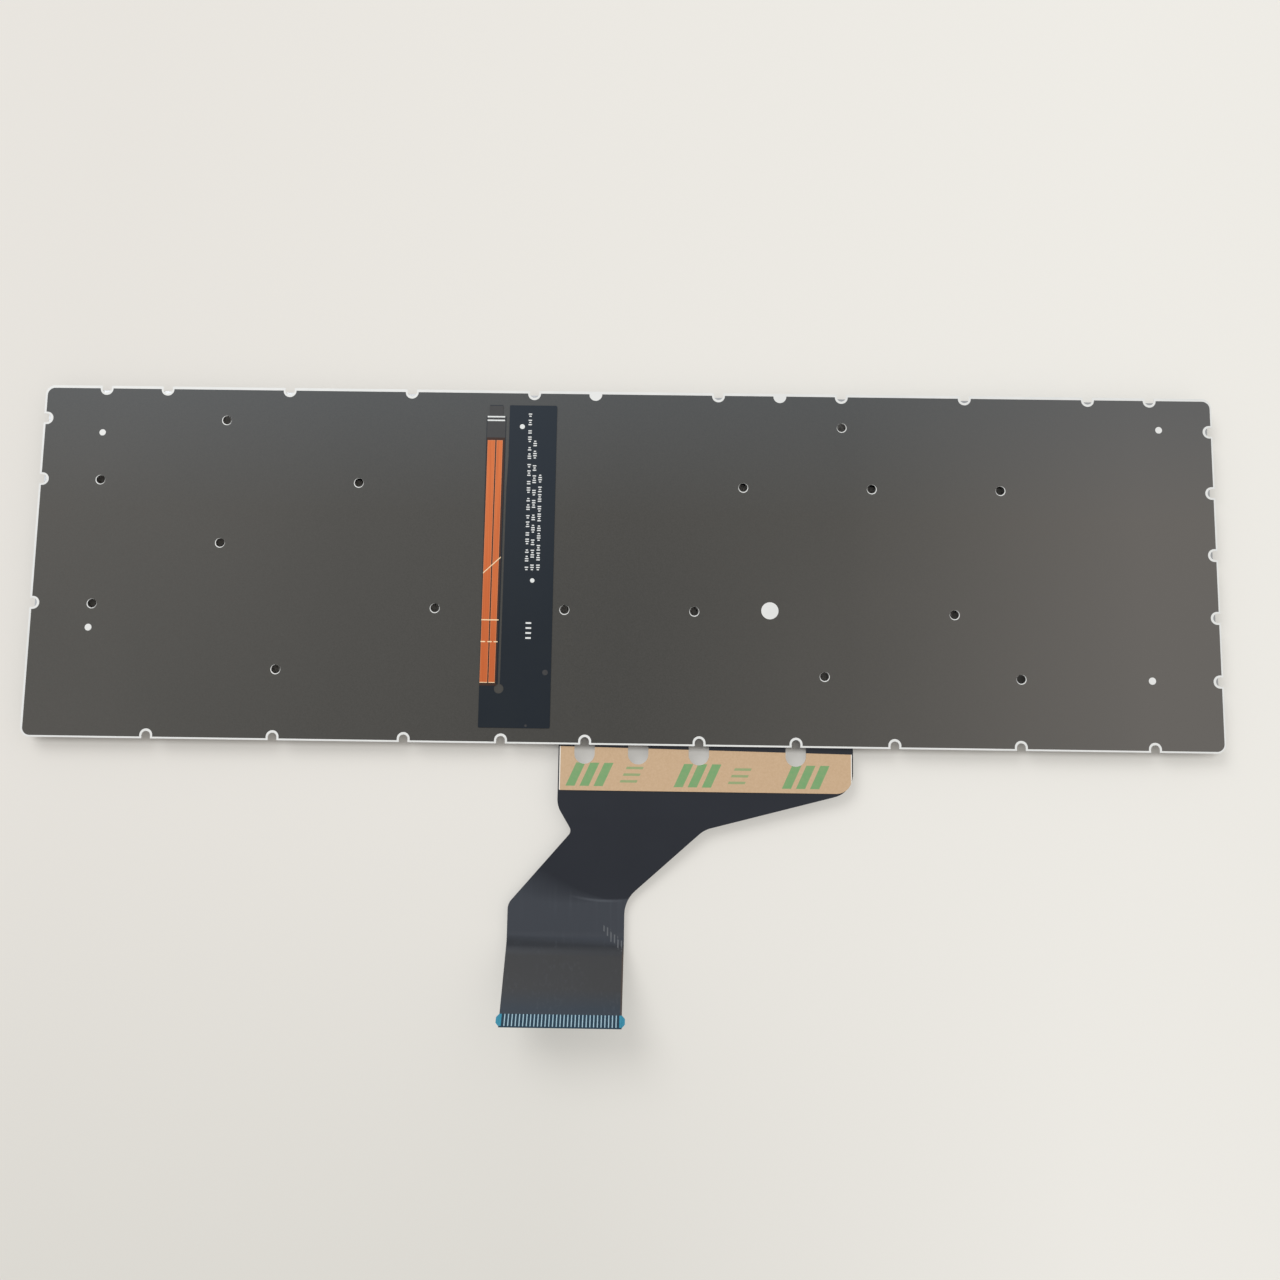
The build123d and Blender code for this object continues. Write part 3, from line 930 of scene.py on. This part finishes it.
def backlight_board():
    """Board with its cut-free leg, the leg's copper strips and contact end, and white marks."""
    low, top = board_low.z, board_low.z + BOARD_T
    left, lower, right, upper = board_low.x, board_low.y, board_high.x, board_high.y
    slit = left + LEG_W
    relief = lower + LEG_ROOT
    step = (LEG_W - LEG_TIP_W) / 2
    outline = [
        (left, lower, LEG_CORNER),
        (right, lower, BOARD_CORNER),
        (right, upper, BOARD_CORNER),
        (slit + BOARD_SHOULDERS[0][1], upper, TIP_CORNER),
        *[(slit + place, y, SHOULDER_R) for y, place in BOARD_SHOULDERS],
        (slit + LEG_SLIT, relief, 0.0),
        (slit, relief, 0.0),
        (slit + LEG_LEAN, upper - LEG_TIP_L, TIP_CORNER),
        (slit - step, upper - LEG_TIP_L, TIP_CORNER),
        (slit - step, upper, LEG_CORNER),
        (left + step, upper, LEG_CORNER),
        (left + step, upper - LEG_TIP_L, TIP_CORNER),
        (left - LEG_FLARE, upper - LEG_TIP_L, TIP_CORNER),
    ]
    plan = rounded(outline)
    middle = slit + LEG_SLIT / 2
    spread = math.acos(LEG_SLIT / 2 / LEG_RELIEF_R)
    ring = []
    for turn in np.linspace(spread, -math.pi - spread, 24):
        ring.append((middle + LEG_RELIEF_R * math.cos(turn), relief + LEG_RELIEF_R * math.sin(turn)))
    at_relief = [i for i, point in enumerate(plan) if abs(point[1] - relief) < 1e-6]
    plan = plan[: at_relief[0]] + ring + plan[at_relief[-1] + 1 :]
    board = Form().add(sheet([plan], low, top), BOARD_NAVY)
    board.make("backlight_board", "flex_navy", stands_for=["backlight_flex"])

    raised = board_high.z
    strips = Form()
    # The brown base also shows below the strips' feet and at their sides, where it stands for painted shadow
    # lines.
    foot, head = STRIP_FOOT - BASE_REACH, STRIP_TOP + BASE_REACH
    base = [(left - 0.02, foot), (slit - 0.45, foot), (slit + 0.1, head), (left, head)]
    strips.add(sheet([base], top, raised - BASE_DEPTH), LEG_BROWN_AND_SHADOW)
    # Each strip has a pale border of painted highlight round its copper.
    layers = (
        (0, COPPER_EDGE_HIGHLIGHT, BASE_DEPTH, BORDER_DEPTH),
        (STRIP_BORDER, COPPER_STRIP, BORDER_DEPTH, COPPER_DEPTH),
    )
    for feet, heads in zip(STRIP_FEET, STRIP_HEADS):
        for border, finish, under, over in layers:
            strip = [
                (left + feet[0] + border, STRIP_FOOT + HEEL_L / 2 + border),
                (left + feet[1] - border, STRIP_FOOT + HEEL_L / 2 + border),
                (left + heads[1] - border, STRIP_TOP - border),
                (left + heads[0] + border, STRIP_TOP - border),
            ]
            strips.add(sheet([strip], raised - under, raised - over), finish)
        # Painted highlight: a pale line across the foot of each strip.
        heel = rectangle(left + feet[0], STRIP_FOOT, left + feet[1], STRIP_FOOT + HEEL_L)
        strips.add(sheet([heel], raised - BASE_DEPTH, raised - HEEL_DEPTH), CREAM_INK_AND_HIGHLIGHT)
    strips.make("leg_copper", "flex_navy")

    end = Form()
    tip = rectangle(left + step, upper - LEG_TIP_L, slit - step, upper - LEG_TIP_BARE)
    shank = rectangle(left, head, slit + LEG_FLARE, upper - LEG_TIP_L)
    for plan in (tip, shank):
        end.add(sheet([plan], top, raised - INK_T), CONTACT_BLACK)
    end.make("leg_contact_end", "flex_navy")

    marks = Form()
    ink = (raised - INK_T, raised)
    for y in END_LINES:
        line = rectangle(left + 0.05, y - END_LINE_HALF, slit - 0.05, y + END_LINE_HALF)
        marks.add(sheet([line], *ink), MARK_WHITE)
    diagonal = [(slit - 0.15, 1.74), (slit - 0.15, 2.12), (left + 0.1, -2.62), (left + 0.1, -3.0)]
    marks.add(sheet([diagonal], *ink), CREAM_INK_AND_HIGHLIGHT)
    line = rectangle(left + 0.02, LEG_LINE[0], slit - 0.25, LEG_LINE[1])
    marks.add(sheet([line], *ink), CREAM_INK_AND_HIGHLIGHT)
    for start, stop in DASHES:
        dash = rectangle(left + start, DASH_LINE[0], left + stop, DASH_LINE[1])
        marks.add(sheet([dash], *ink), CREAM_INK_AND_HIGHLIGHT)
    ink = (top, top + INK_T)
    for dots, finish in ((WHITE_DOTS, MARK_WHITE), (BLACK_DOTS, CONTACT_BLACK)):
        for x, y, radius in dots:
            marks.add(sheet([circle(x, y, radius)], *ink), finish)
    for x, last, pitch, count in MARK_COLUMNS:
        for i, y in enumerate(np.arange(MARK_START, last - MARK_END_GAP, pitch)):
            for j in range(count + i % 2):
                half = TICK_HALVES[1] if (i + j) % 3 else TICK_HALVES[0]
                tick = rectangle(x - half, y + j * TICK_STEP, x + half, y + j * TICK_STEP + TICK_H)
                marks.add(sheet([tick], *ink), MARK_WHITE)
    for y in BAR_ROWS:
        marks.add(sheet([rectangle(BAR_SIDES[0], y, BAR_SIDES[1], y + BAR_H)], *ink), MARK_WHITE)
    marks.make("board_marks", "flex_navy")


def tail_height(y):
    """Height of the tail's upper face: straight runs that bend over a short length."""
    places = [below(along) for along, _ in TAIL_HEIGHTS][::-1]
    heights = [height for _, height in TAIL_HEIGHTS][::-1]
    first = heights[0] + (places[0] - y) * (heights[0] - heights[1]) / (places[1] - places[0])
    window = np.linspace(-TAIL_BEND, TAIL_BEND, 15)
    straight = places[0] + TAIL_BEND > y
    return first if straight else float(np.mean(np.interp(y + window, places, heights)))


def on_tail(x, y, z):
    """A point given by its height over the tail's upper face."""
    return x, y, z + tail_height(y)


def tail_slot(place):
    """Round-ended slot in the tail and the liner, open under the film."""
    half = TAIL_SLOT_W / 2
    end_r = half - 0.02
    x, upper, lower = across(place), below(-TAIL_SLOT_LAP), below(TAIL_SLOT_L)
    corners = [(x - half, upper, 0), (x - half, lower, end_r), (x + half, lower, end_r), (x + half, upper, 0)]
    return rounded(corners)


def sliced(flat, places):
    """Flat faces cut along lines of constant y."""
    points, faces = flat
    mesh = bmesh.new()
    corners = [mesh.verts.new((x, y, 0)) for x, y in points]
    for face in faces:
        mesh.faces.new([corners[i] for i in face])
    for y in places:
        everything = mesh.verts[:] + mesh.edges[:] + mesh.faces[:]
        bmesh.ops.bisect_plane(mesh, geom=everything, dist=1e-5, plane_co=(0, y, 0), plane_no=(0, 1, 0))
    mesh.verts.index_update()
    points = [tuple(vertex.co) for vertex in mesh.verts]
    faces = [[vertex.index for vertex in face.verts] for face in mesh.faces]
    mesh.free()
    return points, faces


def tail_and_membrane():
    """Switch film with its ribbon tail, the carbon contacts and the liner over the tail's root."""
    low, high = [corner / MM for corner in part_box("light_guide")]
    flat_top = TAIL_HEIGHTS[0][1]
    clear = STAKE_R + STAKE_CLEAR
    holes = [rectangle(x - clear, y - clear, x + clear, y + clear) for x, y in stake_places()]
    switch = sheet([rectangle(low.x, low.y, high.x, high.y), *holes], flat_top - MEMBRANE_T, flat_top)
    Form().add(switch, MEMBRANE_FILM).make("switch_membrane", "membrane_film", stands_for=["membrane"])

    corners = [(across(place), below(along), rounding) for place, along, rounding in TAIL_CORNERS]
    plan = rounded(corners, steps=12)
    slots = [tail_slot(place) for place in TAIL_SLOTS]
    end = below(TAIL_CORNERS[4][1])
    contact_line = end + CONTACT_L
    stations = [*np.arange(below(20), end, -1.0), contact_line]
    flat = sliced(filled([plan, *slots]), stations)
    vertices, faces = moved(thickened(flat, -TAIL_T, -CONTACT_T), on_tail)
    ribbon = Form().add((vertices, faces), TAIL_BLACK_AND_PAINTED_LIGHT)
    for i, face in enumerate(faces):
        if np.mean([vertices[j][1] for j in face]) < contact_line:
            ribbon.finishes[i] = TAIL_BLUE
    ribbon.make("ribbon_tail", "membrane_film", stands_for=["membrane"], smooth=30)

    contacts = Form()
    first = (corners[4][0] + corners[5][0]) / 2 - (CONTACTS - 1) / 2 * CONTACT_PITCH
    for i in range(CONTACTS):
        x = first + i * CONTACT_PITCH
        pad = rectangle(x - CONTACT_W / 2, end + CONTACT_RAIL, x + CONTACT_W / 2, end + CONTACT_L)
        contacts.add(moved(sheet([pad], -CONTACT_T, 0), on_tail), CONTACT_CARBON)
    margin = first - CONTACT_W / 2 - corners[5][0]
    for x in (corners[5][0], corners[4][0] - margin):
        bare = rectangle(x, end + CONTACT_RAIL, x + margin, end + CONTACT_L)
        contacts.add(moved(sheet([bare], -CONTACT_T, 0), on_tail), STIFFENER_BLUE)
    rail = rectangle(corners[5][0], end, corners[4][0], end + CONTACT_RAIL)
    contacts.add(moved(sheet([rail], -CONTACT_T, 0), on_tail), CONTACT_CARBON)
    contacts.make("tail_contacts", "membrane_film")

    low, high = [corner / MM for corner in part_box("release_liner")]
    slant = LINER_TILT / (high.x - low.x)
    slots = [corner for place in TAIL_SLOTS for corner in reversed(tail_slot(place))]
    cover = rounded([
        (low.x, low.y, LINER_NICK),
        (high.x, low.y, LINER_CORNER),
        (high.x, high.y - LINER_TILT, 0.0),
        *[(x, min(y, high.y - (x - low.x) * slant), 0.0) for x, y in slots],
        (low.x, high.y, 0.0),
    ])
    liner = Form().add(sheet([cover], low.z, high.z), LINER_PAPER)
    liner.make("release_liner_sheet", "liner_paper", stands_for=["release_liner"])


def legend(word, size):
    """Flat faces of a printed word, centred."""
    lettering = bpy.data.curves.new("legend", "FONT")
    lettering.body = word
    lettering.size = size
    lettering.align_x = "CENTER"
    lettering.align_y = "CENTER"
    lettering.resolution_u = 3
    drawn = bpy.data.objects.new("legend", lettering)
    bpy.context.scene.collection.objects.link(drawn)
    shape = drawn.evaluated_get(bpy.context.evaluated_depsgraph_get())
    mesh = shape.to_mesh()
    points = [tuple(vertex.co) for vertex in mesh.vertices]
    faces = [list(face.vertices) for face in mesh.polygons]
    shape.to_mesh_clear()
    bpy.data.objects.remove(drawn)
    bpy.data.curves.remove(lettering)
    return points, faces


def on_cap(flat, x, y):
    """A flat mark as ink on a key's dish, read from below."""
    shape = thickened(flat, LEGEND_LOW, LEGEND_HIGH)
    return moved(shape, lambda u, v, z: (x - u, y + v, z))


def keycap(form, low, high, mark):
    """Hollow keycap with a shallow dish, and its mark."""
    rings = []
    for inset, z, corner in CAP_RINGS:
        ring = rounded_box(low.x + inset, low.y + inset, high.x - inset, high.y - inset, corner)
        rings.append([(x, y, z) for x, y in ring])
    form.add(loft(rings), KEY_PLASTIC)
    x, y = (low.x + high.x) / 2, (low.y + high.y) / 2
    if mark in ARROWS:
        cosine, sine = math.cos(ARROWS[mark]), math.sin(ARROWS[mark])
        points, faces = filled([circle(0, 0, ARROW_R, 3)])
        turned = [(u * cosine - v * sine, u * sine + v * cosine) for u, v in points]
        form.add(on_cap((turned, faces), x, y), MARK_WHITE)
    elif mark == "ring":
        flat = filled([circle(0, 0, radius) for radius in SYSTEM_RING])
        form.add(on_cap(flat, x, y), MARK_WHITE)
    elif mark:
        size = LETTER_SIZE if len(mark) == 1 else WORD_SIZE
        form.add(on_cap(legend(mark, size), x, y), MARK_WHITE)
    if mark in HOMING_KEYS:
        lower, upper = y - HOMING_SPAN[0], y - HOMING_SPAN[1]
        rings = []
        for half, inset, z in HOMING_RINGS:
            ring = rounded_box(x - half, lower + inset, x + half, upper - inset, HOMING_CORNER)
            rings.append([(u, v, z) for u, v in ring])
        form.add(loft(rings), KEY_PLASTIC)


def tube(place, radius, start, end):
    """Round bar along y about a place given as (x, z)."""
    ring = circle(*place, radius, 12)
    return loft([[(u, y, v) for u, v in ring] for y in (start, end)])


def dome(x, y, scale):
    """Rubber dome with a collar and a hollow tip."""
    rings = [[(u, v, z) for u, v in circle(x, y, radius * scale, 20)] for radius, z in DOME_RINGS]
    return loft(rings)


def scissor_frame(x, y, width, side, scale):
    """U-shaped frame that leans from the membrane to the keycap."""
    bar = SCISSOR_BAR * scale
    reach, half = SCISSOR_L / 2, width / 2
    rise = (SCISSOR_TOP - SCISSOR_T - SCISSOR_LOW) / SCISSOR_L
    plan = [
        (-reach, -half, 0.25 * scale),
        (reach, -half, 0.25 * scale),
        (reach, bar - half, 0.2 * scale),
        (SCISSOR_BAR - reach, bar - half, 0.6 * scale),
        (SCISSOR_BAR - reach, half - bar, 0.6 * scale),
        (reach, half - bar, 0.2 * scale),
        (reach, half, 0.25 * scale),
        (-reach, half, 0.25 * scale),
    ]

    def lean(u, v, z):
        return x + side * u, y + v, SCISSOR_LOW + (u + reach) * rise + z

    return moved(sheet([rounded(plan, 5)], 0, SCISSOR_T), lean)


def scissor(form, x, y, scale):
    """Crossed pair of frames with pivots where their arms pass."""
    outer = SCISSOR_W * scale
    inner = (SCISSOR_W - 2 * SCISSOR_BAR - 2 * SCISSOR_GAP) * scale
    form.add(scissor_frame(x, y, outer, 1, scale), SCISSOR_PLASTIC)
    form.add(scissor_frame(x, y, inner, -1, scale), SCISSOR_PLASTIC)
    middle = (SCISSOR_LOW + SCISSOR_TOP) / 2
    for side in (-1, 1):
        start, end = y + side * (inner / 2 - 0.3 * scale), y + side * (outer / 2 - 0.3 * scale)
        form.add(tube((x, middle), PIVOT_R, start, end), SCISSOR_PLASTIC)


def solids_of(node):
    """Low and high corner of each solid of a node, row by row from the Esc edge."""
    shell = bmesh.new()
    shell.from_mesh(frame["nodes"][node].data)
    bmesh.ops.remove_doubles(shell, verts=shell.verts, dist=1e-6)
    waiting, boxes = set(shell.verts), []
    while waiting:
        front, corners = [waiting.pop()], []
        while front:
            vertex = front.pop()
            corners.append(vertex.co / MM)
            near = {edge.other_vert(vertex) for edge in vertex.link_edges} & waiting
            waiting -= near
            front += near
        boxes.append((Vector(map(min, *corners)), Vector(map(max, *corners))))
    shell.free()
    return sorted(boxes, key=lambda box: (-round(box[1].y, 1), -box[0].x))


def mechanism_scale(low, high):
    """Share of the usual mechanism's width that fits a key's pocket."""
    return min(1.0, (high.y - low.y - POCKET_MARGIN) / SCISSOR_W)


def moving_keys():
    """Each jointed key, and the dome and scissor under it."""
    for joint in frame["joints"]:
        node = joint["child"]
        name = node.removeprefix("key_")
        low, high = [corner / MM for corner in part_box(node)]
        cap = Form()
        keycap(cap, low, high, LEGENDS.get(name, name.upper() if len(name) == 1 else name))
        cap.make(f"cap_{name}", "key_plastic", body=node, stands_for=[node], smooth=35)
        x, y = (low.x + high.x) / 2, (low.y + high.y) / 2
        rubber, frames = Form().add(dome(x, y, 1.0), DOME_RUBBER), Form()
        scissor(frames, x, y, 1.0)
        soft = rubber.make(f"dome_{name}", "dome_rubber", stands_for=["rubber_domes"], smooth=40)
        folding = frames.make(f"scissor_{name}", "scissor_plastic", stands_for=["scissor_frames"], smooth=40)
        for piece in (soft, folding):
            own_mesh(piece)


def fixed_keys():
    """Keys of the rows without joints, on domes and scissors of their own."""
    rubber, frames = Form(), Form()
    for node, marks in KEY_GROUPS.items():
        caps = Form()
        for (low, high), mark in zip(solids_of(node), marks):
            keycap(caps, low, high, mark)
            x, y, scale = (low.x + high.x) / 2, (low.y + high.y) / 2, mechanism_scale(low, high)
            rubber.add(dome(x, y, scale), DOME_RUBBER)
            scissor(frames, x, y, scale)
        caps.make(node.replace("keys", "caps"), "key_plastic", stands_for=[node], smooth=35)
    rubber.make("fixed_domes", "dome_rubber", smooth=40)
    frames.make("fixed_scissors", "scissor_plastic", smooth=40)


def dress_solids():
    """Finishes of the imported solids, by their slot."""
    finishes = {
        "plate_steel": plate_steel(),
        "guide_clear": guide_clear(),
        "film_print": BACK_PRINT_AND_PAINTED_LIGHT,
        "flex_navy": BOARD_NAVY,
        "led_resin": led_resin(),
        "membrane_film": MEMBRANE_FILM,
        "stiffener_blue": STIFFENER_BLUE,
        "liner_paper": LINER_PAPER,
        "dome_rubber": DOME_RUBBER,
        "scissor_plastic": SCISSOR_PLASTIC,
        "key_plastic": KEY_PLASTIC,
    }
    for part in frame["record"]["subparts"]:
        mesh = frame["nodes"][part["node"]].data
        mesh.materials.clear()
        mesh.materials.append(finishes[part["material_slot"]].material)


def studio():
    """Pale table, soft light from the upper left, the room's surround and the photo's camera."""
    table = bpy.data.meshes.new("table_top")
    corners = rectangle(-TABLE_HALF, -TABLE_HALF, TABLE_HALF, TABLE_HALF)
    table.from_pydata([Vector((x, y, -TABLE_DROP)) * MM for x, y in corners], [], [(0, 1, 2, 3)])
    table.materials.append(floor_pale().material)
    floor = bpy.data.objects.new("table_top", table)
    bpy.context.scene.collection.objects.link(floor)

    lamp = bpy.data.lights.new("window_light", "AREA")
    lamp.shape = "DISK"
    lamp.size = WINDOW_SIZE
    lamp.energy = WINDOW_POWER
    window = bpy.data.objects.new("window_light", lamp)
    window.location = WINDOW_PLACE
    window.rotation_euler = (-Vector(WINDOW_PLACE)).to_track_quat("-Z", "Y").to_euler()
    bpy.context.scene.collection.objects.link(window)

    surround = Surround("surround")
    bpy.context.scene.world = surround.material

    view = bpy.data.cameras.new("photo_camera")
    view.lens = CAMERA_LENS
    view.sensor_width = CAMERA_SENSOR
    view.clip_start = 0.01
    camera = bpy.data.objects.new("photo_camera", view)
    camera.location = CAMERA_PLACE
    camera.rotation_euler = [math.radians(turn) for turn in CAMERA_TURN]
    bpy.context.scene.collection.objects.link(camera)
    bpy.context.scene.camera = camera
    bpy.context.scene.view_settings.view_transform = "Standard"


dress_solids()
printed_film()
backlight_board()
tail_and_membrane()
moving_keys()
fixed_keys()
studio()
